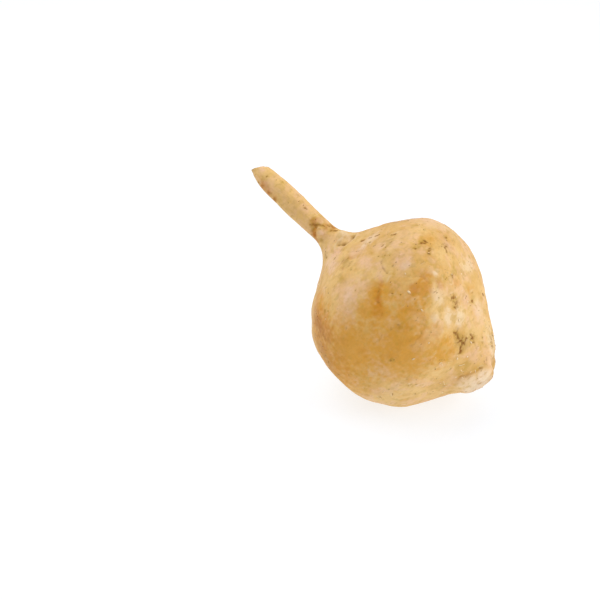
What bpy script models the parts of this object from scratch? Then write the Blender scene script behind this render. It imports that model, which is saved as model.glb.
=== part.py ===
"""A jicama (yam bean) root: one swollen tuber, its neck and the woody stalk still on it.

It lies as it was set down, on a small flattened spot of its belly, with the stalk pointing
up towards -X and the broken tap root end down towards +X. Metres, +Z up, and the origin is
the middle of the flattened spot.

The whole root is one solid. A sphere's rings are laid along the root's growth line, from the
end of the stalk to the root end, and each ring takes the radius that the root has there.
"""

import math

import bmesh
import bpy
import numpy as np
from mathutils import Matrix, Vector, noise

# Driving dimensions. The growth line is the straight line from the neck to the root end:
# "along" is measured on it from the neck, negative up the stalk, and "around" is the angle
# about it, 0 at the upper side, 90 at the back (+Y) and -90 at the front (-Y).
AXIS_DIP = math.radians(32.5)
SEGMENTS = 56
RING_GAP = 0.0017
RING_GAP_PER_RADIUS = 0.052
FLAT_SPOT_DEPTH = 0.0011

# The outline from the stalk's end to the root end: (along, radius).
OUTLINE = (
    (-0.0720, 0.0000),
    (-0.0700, 0.0034),
    (-0.0630, 0.0054),
    (-0.0500, 0.0064),
    (-0.0300, 0.0072),
    (-0.0100, 0.0074),
    (0.0000, 0.0077),
    (0.0085, 0.0132),
    (0.0170, 0.0264),
    (0.0280, 0.0440),
    (0.0400, 0.0556),
    (0.0600, 0.0602),
    (0.0800, 0.0557),
    (0.1000, 0.0450),
    (0.1180, 0.0316),
    (0.1270, 0.0192),
    (0.1288, 0.0158),
    (0.1316, 0.0146),
    (0.1356, 0.0086),
    (0.1368, 0.0000),
)

# Where the middle of the root leaves the growth line: (along, rise, shift to the back).
SWAY = (
    (-0.0720, -0.0020, -0.0014),
    (-0.0400, -0.0010, -0.0014),
    (-0.0150, -0.0008, -0.0012),
    (0.0000, -0.0006, -0.0006),
    (0.0150, -0.0018, -0.0017),
    (0.0400, -0.0010, -0.0010),
    (0.0700, -0.0014, -0.0014),
    (0.0950, -0.0050, -0.0038),
    (0.1150, -0.0052, -0.0044),
    (0.1290, -0.0004, -0.0002),
    (0.1368, 0.0000, 0.0002),
)

# The root end is turned to the front: (along, slope of the rings there).
END_TURNS_TO = math.radians(-85.0)
END_TURN = (
    (-0.0720, 0.00),
    (0.0800, 0.00),
    (0.1000, 0.04),
    (0.1180, 0.24),
    (0.1290, 0.44),
    (0.1368, 0.50),
)

# The four shallow lobes, twisting down the tuber: (along, depth as a share, crest's angle).
LOBES = 4
LOBE_SHAPE = (
    (-0.0720, 0.000, 12.0),
    (0.0000, 0.000, 12.0),
    (0.0150, 0.014, 11.0),
    (0.0450, 0.028, 2.0),
    (0.0850, 0.032, -36.0),
    (0.1200, 0.036, -50.0),
    (0.1290, 0.000, -52.0),
    (0.1368, 0.000, -52.0),
)

# Broad, slow unevenness of the tuber, fading out on the stalk.
LUMP_SIZE = 0.034
LUMP_SHARE = 0.020
LUMP_SEED = Vector((4.7, 1.3, 8.1))

# Swellings (+) and dents (-): name, points (along, around in degrees), reach, height.
RELIEF = (
    ("belly", ((0.082, -172.0), (0.097, 178.0)), 0.0240, 0.0040),
    ("right shoulder", ((0.052, 42.0),), 0.0190, 0.0008),
    ("soft ridge", ((0.050, 2.0), (0.068, -17.0), (0.085, -36.0)), 0.0085, 0.0009),
    ("sunken cheek", ((0.060, -46.0),), 0.0170, -0.0012),
    ("left cheek", ((0.034, -136.0),), 0.0150, 0.0008),
    ("back hollow", ((0.058, 110.0), (0.085, 122.0)), 0.0120, -0.0020),
    ("back seam", ((0.024, 74.0), (0.044, 66.0), (0.066, 70.0)), 0.0075, -0.0009),
    ("side swelling", ((0.074, 92.0),), 0.0100, 0.0012),
    ("low swelling", ((0.066, -112.0), (0.078, -118.0)), 0.0090, 0.0010),
    ("dent above the root end", ((0.110, -20.0), (0.114, 10.0)), 0.0075, -0.0010),
    ("root end lump", ((0.1310, -48.0),), 0.0065, 0.0013),
    ("root end furrow", ((0.1280, 42.0), (0.1350, 60.0)), 0.0046, -0.0018),
    ("root end furrow below", ((0.1280, -152.0), (0.1340, -146.0)), 0.0040, -0.0014),
    ("root end fold behind", ((0.1240, 128.0), (0.1260, 160.0)), 0.0050, 0.0014),
    ("neck knob", ((-0.0062, -62.0),), 0.0034, 0.0014),
    ("second neck knob", ((0.0066, -13.0),), 0.0048, 0.0018),
    ("fold under it", ((0.0082, -42.0), (0.0108, -18.0)), 0.0024, -0.0010),
    ("neck rib at the back", ((0.002, 150.0), (0.016, 140.0), (0.028, 138.0)), 0.0050, 0.0020),
    ("neck rib below", ((0.000, -150.0), (0.014, -142.0), (0.026, -140.0)), 0.0050, 0.0010),
    ("upper knot", ((-0.0480, -20.0),), 0.0046, 0.0006),
    ("lower knot", ((-0.0540, -150.0),), 0.0050, 0.0006),
    ("back knot", ((-0.0260, 120.0),), 0.0050, 0.0009),
)

# The oblique break at the stalk's end: a point on it, and which way it faces.
BREAK_POINT = (-0.0652, 0.0, 0.0)
BREAK_FACES = (-0.72, 0.55, 0.43)

SKIN_COLOUR = (0.66, 0.41, 0.18, 1.0)
SKIN_ROUGHNESS = 0.62


def spline(knots, values):
    """A smooth curve that passes through each value at its knot."""
    knots = np.asarray(knots, float)
    values = np.asarray(values, float)
    slopes = np.gradient(values, knots)

    def at(x):
        x = np.clip(x, knots[0], knots[-1])
        i = np.clip(np.searchsorted(knots, x) - 1, 0, len(knots) - 2)
        span = knots[i + 1] - knots[i]
        t = (x - knots[i]) / span
        return (
            values[i] * (1 + 2 * t) * (1 - t) ** 2
            + slopes[i] * span * t * (1 - t) ** 2
            + values[i + 1] * t * t * (3 - 2 * t)
            + slopes[i + 1] * span * t * t * (t - 1)
        )

    return at


def column(table, index):
    """A smooth curve from one column of a table whose first column is along."""
    return spline([row[0] for row in table], [row[index] for row in table])


def ring_places():
    """(along, radius) of each ring, pole to pole, with the rings closer where the root is thin."""
    points = np.array(OUTLINE)
    walked = np.concatenate([[0.0], np.cumsum(np.linalg.norm(np.diff(points, axis=0), axis=1))])
    along_at = spline(walked, points[:, 0])
    radius_at = spline(walked, points[:, 1])
    fine = np.linspace(0.0, walked[-1], 4000)
    gap = RING_GAP + RING_GAP_PER_RADIUS * np.abs(radius_at(fine))
    count = np.concatenate([[0.0], np.cumsum(np.diff(fine) / gap[1:])])
    rings = int(round(count[-1]))
    walk = np.interp(np.linspace(0.0, count[-1], rings + 1), count, fine)
    radius = np.maximum(radius_at(walk), 0.0)
    radius[[0, -1]] = 0.0
    return along_at(walk), radius


def place(along, around, radius):
    """Points in the growth frame: X along the growth line, Y to the back, Z to the upper side."""
    crest = np.radians(column(LOBE_SHAPE, 2)(along))
    lobed = radius * (1 + column(LOBE_SHAPE, 1)(along) * np.cos(LOBES * (around - crest)))
    return np.stack(
        [
            along - column(END_TURN, 1)(along) * lobed * np.cos(around - END_TURNS_TO),
            column(SWAY, 2)(along) + lobed * np.sin(around),
            column(SWAY, 1)(along) + lobed * np.cos(around),
        ],
        axis=-1,
    )


def radius_beside(along):
    """The outline's radius at one place on the growth line."""
    table = np.array(OUTLINE)
    return float(spline(table[:, 0], table[:, 1])(along))


def raise_relief(points, normals, marks, reach, height):
    """Moves points out (or in) around a line of marks, fading with the distance to it."""
    spots = [place(a, math.radians(d), radius_beside(a)) for a, d in marks]
    near = np.full(len(points), np.inf)
    for start, end in zip(spots, spots[1:] or spots):
        line = end - start
        share = (points - start) @ line / max(line @ line, 1e-12)
        foot = start + np.clip(share, 0, 1)[:, None] * line
        near = np.minimum(near, np.linalg.norm(points - foot, axis=1))
    return points + normals * (height * np.exp(-((near / reach) ** 2)))[:, None]


def lumps(points, radius):
    """Slow noise that makes the tuber uneven, in proportion to its thickness."""
    size = np.array([noise.fractal(Vector(p) / LUMP_SIZE + LUMP_SEED, 1.0, 2.1, 2) for p in points])
    return size * LUMP_SHARE * radius


def coordinates(mesh):
    return np.array([v.co for v in mesh.verts])


def outward(mesh):
    mesh.normal_update()
    return np.array([v.normal for v in mesh.verts])


def move_to(mesh, points):
    for vertex, point in zip(mesh.verts, points):
        vertex.co = point


def slice_off(mesh, point, facing):
    """Cuts away what lies beyond a plane and closes the cut with one flat face."""
    geometry = mesh.verts[:] + mesh.edges[:] + mesh.faces[:]
    cut = bmesh.ops.bisect_plane(
        mesh, geom=geometry, dist=1e-6, plane_co=point, plane_no=facing, clear_outer=True
    )
    rim = [e for e in cut["geom_cut"] if isinstance(e, bmesh.types.BMEdge)]
    bmesh.ops.contextual_create(mesh, geom=rim)


def grow_root():
    """The root's mesh in the growth frame, as one closed surface."""
    along, radius = ring_places()
    mesh = bmesh.new()
    bmesh.ops.create_uvsphere(mesh, u_segments=SEGMENTS, v_segments=len(along) - 1, radius=1.0)
    ball = coordinates(mesh)
    ring = np.rint(np.arccos(np.clip(ball[:, 2], -1, 1)) / math.pi * (len(along) - 1)).astype(int)
    around = np.arctan2(ball[:, 1], ball[:, 0])
    points = place(along[ring], around, radius[ring])
    move_to(mesh, points)
    normals = outward(mesh)
    points = points + normals * lumps(points, radius[ring])[:, None]
    for _, marks, reach, height in RELIEF:
        points = raise_relief(points, normals, marks, reach, height)
    move_to(mesh, points)
    slice_off(mesh, Vector(BREAK_POINT), Vector(BREAK_FACES).normalized())
    return mesh


def set_down(mesh):
    """Tips the root to its resting pose and flattens the spot that it lies on."""
    bmesh.ops.transform(mesh, matrix=Matrix.Rotation(AXIS_DIP, 4, "Y"), verts=mesh.verts[:])
    floor = min(v.co.z for v in mesh.verts) + FLAT_SPOT_DEPTH
    slice_off(mesh, Vector((0, 0, floor)), Vector((0, 0, -1)))
    spot = min(mesh.faces, key=lambda face: face.calc_center_median().z)
    middle = spot.calc_center_bounds()
    bmesh.ops.translate(mesh, vec=-Vector((middle.x, middle.y, floor)), verts=mesh.verts[:])


def skin_material():
    material = bpy.data.materials.new("root_skin")
    material.use_nodes = True
    shader = material.node_tree.nodes["Principled BSDF"]
    shader.inputs["Base Color"].default_value = SKIN_COLOUR
    shader.inputs["Roughness"].default_value = SKIN_ROUGHNESS
    shader.inputs["Metallic"].default_value = 0.0
    return material


def main():
    for leftover in list(bpy.data.objects):
        bpy.data.objects.remove(leftover)
    shape = grow_root()
    set_down(shape)
    data = bpy.data.meshes.new("root_with_stalk")
    shape.to_mesh(data)
    shape.free()
    root = bpy.data.objects.new("root_with_stalk", data)
    parts = bpy.data.collections.new("jicama_root")
    bpy.context.scene.collection.children.link(parts)
    parts.objects.link(root)
    data.materials.append(skin_material())
    data.shade_smooth()
    data.set_sharp_from_angle(angle=math.radians(40))


main()
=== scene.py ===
# %% [markdown]
# # A jicama root, from its solid to its skin
#
# The root is one grown piece: a swollen tuber, its neck and a woody stalk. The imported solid
# already has the size, the lobes and the resting place. This lesson gives it the thin corky
# skin of the real one: fine relief first, then marks painted where they grow, then a
# material that reads them, and last the loose bits that cling to a root from the ground.

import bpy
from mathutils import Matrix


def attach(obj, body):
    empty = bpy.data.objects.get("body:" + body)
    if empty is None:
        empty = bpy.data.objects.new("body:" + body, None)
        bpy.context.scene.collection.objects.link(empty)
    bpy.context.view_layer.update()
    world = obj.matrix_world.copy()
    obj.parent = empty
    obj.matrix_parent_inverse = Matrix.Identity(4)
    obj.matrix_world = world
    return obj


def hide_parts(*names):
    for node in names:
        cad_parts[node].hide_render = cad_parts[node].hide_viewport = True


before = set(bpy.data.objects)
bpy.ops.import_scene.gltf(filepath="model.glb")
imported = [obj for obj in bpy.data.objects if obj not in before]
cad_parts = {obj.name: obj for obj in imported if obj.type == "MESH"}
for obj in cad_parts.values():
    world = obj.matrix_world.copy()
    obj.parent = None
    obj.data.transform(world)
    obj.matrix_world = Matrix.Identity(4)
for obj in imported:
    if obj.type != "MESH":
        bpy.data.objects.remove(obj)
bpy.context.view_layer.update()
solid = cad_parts["root_with_stalk"]

# %% [markdown]
# ## The camera
#
# It comes first, because every judgement about a surface is made through it. A long lens
# from nearly a metre away keeps the root's outline calm, as studio pictures do. The aim
# point was fitted to the photograph's outline. It lies left of the root, so the root sits
# right of the middle.

# %% The camera looks down at thirty degrees
import math
import random

import bmesh
import bpy
import numpy as np
from mathutils import Matrix, Vector, kdtree, noise

CAMERA_AZIMUTH = math.radians(34)
CAMERA_ELEVATION = math.radians(30)
CAMERA_LENS = 85.0
SENSOR_WIDTH = 36.0
METRES_PER_PIXEL = 0.000645
IMAGE_SIDE = 600
AIM = Vector((-0.0602, -0.0317, 0.0655))

to_camera = Vector(
    (
        math.sin(CAMERA_AZIMUTH) * math.cos(CAMERA_ELEVATION),
        -math.cos(CAMERA_AZIMUTH) * math.cos(CAMERA_ELEVATION),
        math.sin(CAMERA_ELEVATION),
    )
)
to_right = Vector((math.cos(CAMERA_AZIMUTH), math.sin(CAMERA_AZIMUTH), 0.0))
to_top = to_camera.cross(to_right)
camera_distance = IMAGE_SIDE * METRES_PER_PIXEL * CAMERA_LENS / SENSOR_WIDTH

lens = bpy.data.cameras.new("camera")
lens.lens = CAMERA_LENS
lens.sensor_width = SENSOR_WIDTH
lens.clip_start = 0.05
lens.clip_end = 20.0
camera = bpy.data.objects.new("camera", lens)
bpy.context.scene.collection.objects.link(camera)
camera.location = AIM + to_camera * camera_distance
camera.rotation_mode = "QUATERNION"
camera.rotation_quaternion = (-to_camera).to_track_quat("-Z", "Y")
bpy.context.scene.camera = camera
print(f"camera {camera_distance:.3f} m from its aim")

# %% [markdown]
# ## Fine enough to carve
#
# Skin a millimetre deep can't be made on faces five millimetres wide. A voxel remesh gives
# an even grid all over, poles included, where a subdivision would keep the long thin faces
# of the stalk. The grid is then relaxed a little, which melts the solid's flat facets.

# %% An even grid of small faces over the whole root
VOXEL = 0.00086
WELD_DISTANCE = 0.00001
RELAX_SHARE = 0.5
RELAX_ROUNDS = 9


def even_grid(source, voxel, rounds):
    """A new object with the source's shape as an even, slightly relaxed grid of faces."""
    piece = bpy.data.objects.new("root_skin", source.data.copy())
    bpy.context.scene.collection.objects.link(piece)
    weld = piece.modifiers.new("weld", "WELD")
    weld.merge_threshold = WELD_DISTANCE
    grid = piece.modifiers.new("grid", "REMESH")
    grid.mode = "VOXEL"
    grid.voxel_size = voxel
    relax = piece.modifiers.new("relax", "SMOOTH")
    relax.factor = RELAX_SHARE
    relax.iterations = rounds
    graph = bpy.context.evaluated_depsgraph_get()
    mesh = bpy.data.meshes.new_from_object(piece.evaluated_get(graph))
    piece.modifiers.clear()
    piece.data = mesh
    return piece


skin = even_grid(solid, VOXEL, RELAX_ROUNDS)
skin.data.calc_loop_triangles()
print("skin grid:", len(skin.data.vertices), "points,", len(skin.data.loop_triangles), "triangles")

# %% [markdown]
# ## Places on a root
#
# A root has no left or front of its own. It has a growth line from the stalk to the root
# end, so every mark here is placed by how far **along** that line it grew, in millimetres
# from the neck, and at which angle **around** it. Zero is the upper side, -90 the front.
# Noise is sampled in the same growth frame, so it can be drawn out across or along it.

# %% Each skin point gets its growth coordinates
MM = 1000.0
AXIS_DIP = math.radians(32.5)
NECK = np.array([-0.0591, 0.0022, 0.0972])
TURN = np.array(Matrix.Rotation(AXIS_DIP, 3, "Y"))

count = len(skin.data.vertices)
start = np.empty(count * 3, np.float32)
skin.data.vertices.foreach_get("co", start)
start = start.reshape(-1, 3).astype(float)
facing = np.empty(count * 3, np.float32)
skin.data.vertex_normals.foreach_get("vector", facing)
facing = facing.reshape(-1, 3).astype(float)

grown = (start - NECK) @ TURN * MM
grown_facing = facing @ TURN
along = grown[:, 0]
around = np.arctan2(grown[:, 1], grown[:, 2])
radius = np.hypot(grown[:, 1], grown[:, 2])
print(f"along {along.min():.1f} to {along.max():.1f} mm, widest {radius.max():.1f} mm")


def between(values, low, high):
    """0 below low, 1 above high and a soft step from one to the other."""
    share = np.clip((values - low) / (high - low), 0, 1)
    return share * share * (3 - 2 * share)


END_TURN = 0.46
END_FRONT = math.radians(-85)
end_ring = along + END_TURN * radius * np.cos(around - END_FRONT)

on_stalk = 1 - between(along, -5, 9)
on_tuber = between(along, 6, 26)
above_rest = between(start[:, 2] * MM, 0.4, 5.0)

# %% [markdown]
# ## Relief that grows by itself
#
# A tuber swells unevenly, its skin stretches and dries, and fine cracks heal over. Each of
# these has its own scale, from slow waves of a few centimetres down to grain of a
# millimetre. Noise at each scale is added as real height. Near the rest spot it fades out,
# so the root still lies where the solid lies. The vector noise is shifted by a seed that
# the clock would choose, so the seed is fixed before the first call.

# %% Noise in the growth frame
DRIFT_SEED = 12
noise.seed_set(DRIFT_SEED)


def rough(size, seed, octaves=1, stretch=(1.0, 1.0, 1.0)):
    """Noise of about -1 to 1 at every skin point, for features of a size in millimetres."""
    places = grown * np.array(stretch) / size + seed
    return np.array([noise.fractal(Vector(p), 0.9, 2.1, octaves) for p in places.tolist()])


def drifted(size, amount, seed):
    """Every skin point moved by a slow random drift, so that drawn lines grow crooked."""
    places = grown / size + seed
    drift = np.array([noise.noise_vector(Vector(p)) for p in places.tolist()])
    return drift * amount


waves = rough(24, 3.1, 2)
lumps = rough(8.5, 11.7, 2)
dimples = rough(4.2, 23.9, 1)
grain = rough(1.9, 37.3, 2)
cross_lines = rough(2.6, 51.2, 2, stretch=(2.6, 0.55, 0.55))
fibre_lines = rough(2.1, 63.8, 2, stretch=(0.14, 1.0, 1.0))
crooked = grown + drifted(6.0, 1.6, 17.3) + drifted(2.2, 0.7, 29.9)
print(f"waves {waves.std():.2f}, lumps {lumps.std():.2f}, grain {grain.std():.2f}")

# %% The slow and the fine relief together
# Heights in millimetres.
WAVE_HEIGHT = 0.42
LUMP_HEIGHT = 0.26
DIMPLE_HEIGHT = 0.13
GRAIN_HEIGHT = 0.035
CROSS_LINE_HEIGHT = 0.10
FIBRE_HEIGHT = 0.15
height = WAVE_HEIGHT * waves * on_tuber
height += LUMP_HEIGHT * lumps * (0.35 + 0.65 * on_tuber)
height += DIMPLE_HEIGHT * dimples * on_tuber
height += GRAIN_HEIGHT * grain

wrinkled = between(rough(15, 71.4), -0.05, 0.45)
near_neck = between(along, -4, 8) * (1 - between(along, 22, 48))
near_end = between(along, 92, 118)
lined = near_neck * 0.5 + near_end * 0.6 + 0.15 * on_tuber * wrinkled
height += CROSS_LINE_HEIGHT * cross_lines * lined
height += FIBRE_HEIGHT * fibre_lines * on_stalk
print(f"relief so far {height.min():.2f} to {height.max():.2f} mm")

# %% [markdown]
# ## Marks with a place
#
# Some marks are the root's own: the scar of a bud, a crease under a knob, a scab where a
# rootlet tore off. Each one is carved and painted together. A painted **mask** is a number
# from 0 to 1 at every point of the skin, and the material reads it later, so a scar's
# colour lies exactly in its hollow. Marks on the seen side were picked on the photograph,
# turned into growth coordinates and rounded. The others follow their manner.

# %% Masks to paint and a way to find a place
masks = {
    name: np.zeros(count)
    for name in ("browned_and_shade", "rusty_and_shade", "pale", "rosy", "olive", "scarred", "soil_and_shade", "flaky")
}
UNEVEN = rough(2.4, 83.6, 2)


def nearest_point(mark_along, mark_around):
    """The number of the skin point nearest to a growth place."""
    turn = np.angle(np.exp(1j * (around - math.radians(mark_around))))
    return int(np.argmin((along - mark_along) ** 2 + (radius * turn) ** 2))


def skin_directions(index):
    """The directions across, down and out of the skin at one of its points."""
    out = grown_facing[index]
    across = np.array([0.0, math.cos(around[index]), -math.sin(around[index])])
    across -= out * across.dot(out)
    across /= np.linalg.norm(across)
    return across, np.cross(across, out), out


def turned(across, down, degrees):
    """Both directions in the skin, turned together."""
    turn = math.radians(degrees)
    first = across * math.cos(turn) + down * math.sin(turn)
    second = down * math.cos(turn) - across * math.sin(turn)
    return first, second


def spot_reach(mark_along, mark_around, half_across, half_along, tilt=0.0, ragged=0.0):
    """How far each point is from a mark's middle, as a share of the mark's half size."""
    middle = nearest_point(mark_along, mark_around)
    across, down, out = skin_directions(middle)
    first, second = turned(across, down, tilt)
    away = crooked - crooked[middle]
    depth = (away @ out) / (2.0 * max(half_across, half_along))
    reach = np.sqrt((away @ first / half_across) ** 2 + (away @ second / half_along) ** 2 + depth**2)
    return reach + ragged * UNEVEN


def paint(name, strength):
    """Adds to a mask, which never goes past one."""
    masks[name] = 1 - (1 - masks[name]) * (1 - np.clip(strength, 0, 1))


# %% Knobs and dents where the stalk meets the tuber
# Each line is a place, half sizes across and along, tilt and height in millimetres.
SWELLINGS = (
    (7, -24, 6, 6.5, 20, 2.3),
    (13, -36, 7, 2.2, -15, -1.1),
    (19, -38, 4, 6.5, -10, 0.6),
    (-4.5, -69, 4, 4, 30, 1.1),
    (-10.5, -84, 4, 2.4, 0, -0.6),
    (-13.5, -62, 3.5, 3.5, -40, 0.4),
    (-1, -20, 4, 3, -25, 0.5),
    (-13, -15, 4, 5, 0, 0.4),
    (-47.5, -24, 3.5, 4, 0, 0.5),
    (-40, -100, 3.5, 5, 0, -0.4),
    (-54, -105, 3, 6, 0, -0.35),
    (-30, -50, 4, 6, 0, 0.3),
    (22, -58, 5, 9, -15, -0.3),
    (32, -63, 5, 6, -15, 0.4),
    (51, -28, 8.5, 6.5, -45, -0.15),
    (77, -60, 4, 3.5, 0, -0.45),
    (78, -8, 5, 3, 25, -0.4),
    (91, -17, 4, 4, 25, -0.4),
    (108.5, -30, 6, 7, 20, -0.55),
    (91, 42, 16, 16, 0, 1.3),
    (128.5, 56, 8, 7, 0, -2.2),
    (139.5, 98, 8, 7, 0, -2.3),
    (137.5, 145, 7, 6, 0, -0.8),
    (-44, -122, 5, 22, 0, 1.1),
    (-70, -120, 4, 4, 0, -1.7),
    (28, 26, 12, 10, 0, -0.9),
    (54, 45, 12, 10, 0, 1),
    (12, -9, 5, 2.2, -45, -0.6),
)
for at_along, at_around, half_across, half_along, tilt, rise in SWELLINGS:
    reach = spot_reach(at_along, at_around, half_across, half_along, tilt)
    height += rise * np.exp(-(reach**2))
print("swellings:", len(SWELLINGS))

# %% Broad patches of colour
# Under each mask, a line is a place (along, around), half sizes across and along, tilt, strength.
PATCHES = {
    # Thick cork in gold and brown: the gold patch at mid front, the flank, the low front. On the left
    # flank, around -100 to -120, the brown is partly painted shadow.
    "browned_and_shade": (
        (73, -32, 7.5, 14, 45, 0.8),
        (56.5, -50, 7.5, 9, 0, 0.7),
        (66, -60, 9, 6, 0, 0.75),
        (66, -45, 9, 8, 0, 0.15),
        (67.5, -38, 6, 7, 0, 0.6),
        (54.5, -58, 4.5, 4.5, 0, 0.7),
        (76, -48, 11, 9, 45, 0.75),
        (60, -43, 10, 10, 5, 0.25),
        (61.5, -59, 6.5, 5.5, -45, 0.9),
        (57, -66, 8, 8, 0, 0.65),
        (79, -23, 4.5, 4.5, 0, 0.85),
        # Left flank: partly painted shadow.
        (30, -100, 11, 20, -35, 0.9),
        (54, 6, 22, 9, 10, 0.3),
        (54, -54, 6.5, 8, 20, 0.8),
        (90, -68, 30, 26, -30, 0.85),
        (66, -90, 26, 26, 0, 0.85),
        # These two darken the left flank, partly as painted shadow.
        (62, -120, 30, 30, 0, 0.9),
        (40, -112, 18, 14, 0, 0.7),
        (107, -51, 13, 14, -15, 0.85),
        (20, 20, 10, 9, 0, 0.35),
        (50, -8, 10, 5, 0, 0.45),
        (81.5, -7, 6.5, 4.5, 10, 0.5),
        (90, 9, 6, 4, 15, 0.5),
        (60, 150, 26, 20, 0, 0.65),
        (34, 100, 16, 12, 0, 0.55),
        (100, 170, 26, 20, 0, 0.6),
        # Left flank again: partly painted shadow.
        (40, -101, 13, 18, -10, 0.6),
    ),
    # Rust-red stains: beside the gold patch, round the neck and the stalk, and on the left flank, where
    # they are partly painted shadow and painted orange reflection.
    "rusty_and_shade": (
        (53, -52, 2.4, 9, 45, 0.6),
        (56, -56, 3, 5, 20, 0.45),
        (68, -37, 5, 5, 0, 0.2),
        (61.5, -60, 5.5, 4.5, -45, 0.4),
        (73, -31, 4, 10, 45, 0.3),
        (67, -37, 5, 6, 0, 0.35),
        # Left flank: partly painted shadow and painted orange reflection.
        (34, -108, 11, 22, -35, 0.5),
        (76.5, -22, 2.8, 4, 45, 0.55),
        # These two on the left flank: partly painted shadow and painted orange reflection.
        (54, -112, 17, 22, 0, 0.3),
        (44, -97, 10, 15, -20, 0.45),
        (-55, -115, 3.5, 2.4, 5, 0.85),
        (-48.5, -111, 3, 2.2, 15, 0.85),
        (-43, -114, 3, 2.6, 0, 0.75),
        (-52, -106, 4.5, 11, 0, 0.4),
        (-65, -112, 3, 4, 0, 0.5),
        (-9.5, -72, 4.5, 2.6, 0, 1),
        (-8, -94, 5, 3, 0, 1),
        (-1.5, 0, 5.5, 3.5, -15, 0.9),
        (-13.5, -60, 4, 4, 0, 0.6),
        (-6.5, -28, 4, 2.6, -20, 0.5),
        (-4.5, -112, 3, 2.6, 0, 0.6),
        (66, 140, 14, 12, 0, 0.45),
        (112, 96, 12, 10, 0, 0.4),
        (25.5, -62, 1.6, 5, -15, 0.3),
        (24, -50, 1.6, 5, -15, 0.3),
    ),
    # Cream places where the cork is thin: right of the gold patch, the knob, the top.
    "pale": (
        (80.5, -48, 5, 5, 0, 0.2),
        (81, -27, 7, 9, 40, 0.55),
        (69.5, -20, 4, 3.5, 20, 0.8),
        (94, -30, 6, 8, 30, 0.7),
        (98.5, -18, 8, 7, -45, 0.7),
        (88.5, -39, 4, 4.5, -35, 0.6),
        (95, -62, 5.5, 6.5, -15, 0.2),
        (79, 19, 13, 6, 5, 0.55),
        (48, 28, 30, 14, 0, 0.2),
        (122, 22, 6, 14, 0, 0.6),
        (42.5, -69, 3.5, 8, 35, 0.25),
        (54.5, -29, 4, 5, -40, 0.3),
        (8.5, -21, 4, 5.5, 35, 0.7),
        (14.5, -80, 6, 19, -15, 0.2),
        (24, -24, 10, 6, 0, 0.6),
        (100, 12, 8, 8, 0, 0.4),
        (60, 86, 18, 16, 0, 0.6),
        (80, 178, 22, 20, 0, 0.45),
        (-5, -68, 2.2, 2, -40, 0.35),
    ),
    # Thin soil over the top. On the left flank, patches that are partly soil and partly painted shadow.
    "soil_and_shade": (
        # These two darken the left flank: partly painted shadow.
        (54, -118, 12, 20, 0, 0.25),
        (39, -104, 8.5, 18, -20, 0.25),
        (54, 8, 24, 12, 10, 0.08),
        (58, -98, 13, 13, 0, 0.1),
    ),
    # Greenish brown halos round the scars and the scabs. The patch beside the knob is painted shade.
    "olive": (
        (-38, -60, 6, 12, 0, 0.2),
        (-56, -40, 5, 6, 0, 0.35),
        # Beside the knob: painted shade, over a real dent.
        (12, -9, 6, 2.4, -45, 0.6),
        (30, -67, 4, 9, -10, 0.55),
        (22, -56, 4.5, 7, -15, 0.5),
        (44, -35, 4, 8, 30, 0.45),
        (51, -14, 6, 5, 35, 0.85),
        (35.5, -21, 4.5, 7, 10, 0.8),
        (36, -12, 12, 9, 0, 0.2),
        (76, -3, 5, 5, 0, 0.8),
        (91.5, -18, 3.5, 4, 25, 0.9),
        (108, -51, 9, 13, -15, 0.5),
        (121, -42, 9, 5, 0, 0.25),
        (-12.5, -58, 7.5, 5.5, 0, 0.45),
        (-8, -36, 4, 3, 0, 0.5),
        (-1, -95, 2.4, 2, 0, 0.9),
        (-30, -70, 8, 10, 0, 0.4),
        (8, -102, 5, 4, 40, 0.8),
        (70, 120, 14, 12, 0, 0.55),
        (98, 150, 12, 14, 0, 0.55),
    ),
    # Rosy places where the flesh shows through, mostly on the shoulder.
    "rosy": (
        (-61.5, -60, 4, 4, 0, 0.8),
        (-50, -90, 4, 5, 0, 0.85),
        (-24.5, -38, 4, 6, 0, 0.6),
        (-33, -10, 4, 6, 0, 0.6),
        (-11, -30, 4, 4, 0, 0.6),
        (24, -24, 12, 7, 0, 0.6),
        (106, 8, 10, 8, 0, 0.6),
        (51, -28, 8.5, 6.5, -45, 1),
        (47, -24, 7, 6, 0, 0.8),
        (44.5, -42, 3.5, 7.5, 45, 1),
        (12.5, -65, 4, 10, -25, 1),
        (14.5, -80, 7, 20, -15, 0.9),
        (34.5, -44, 6.5, 10, 10, 0.85),
        (45, -57, 4, 5, 0, 0.45),
        (43, -69, 6, 11, 35, 1),
        (62, 4, 7, 5, 0, 0.75),
        (34, -28, 8, 10, 0, 0.75),
        (24, -40, 7, 10, 0, 0.6),
        (94, -4, 6, 5, 0, 0.7),
        (128, 14, 6, 12, -10, 0.6),
        (40, 20, 18, 16, 0, 0.6),
        (76, 30, 14, 10, 0, 0.5),
        (96, 100, 14, 16, 0, 0.7),
        (-5, -68, 2.7, 2.5, -40, 1),
        (122, -20, 6, 8, 0, 0.6),
        (96, -50, 7, 9, -30, 0.3),
        (38, -12, 14, 9, 0, 0.45),
        (39, -68, 11, 11, 0, 0.6),
    ),
}
for name, marks in PATCHES.items():
    for at_along, at_around, half_across, half_along, tilt, strength in marks:
        reach = spot_reach(at_along, at_around, half_across, half_along, tilt, 0.30)
        paint(name, strength * (1 - between(reach, 0.25, 1.15)))
    print(name, "patches:", len(marks))

# %% [markdown]
# ## Scars, creases and specks
#
# A ring scar has a raised rim round a sunken floor, left by a bud. A crease is a narrow
# groove that holds soil. Both could be sculpted by hand, but a mark that is a place and a
# few sizes can be moved and made again. The distance to the mark gives its shape.

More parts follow.
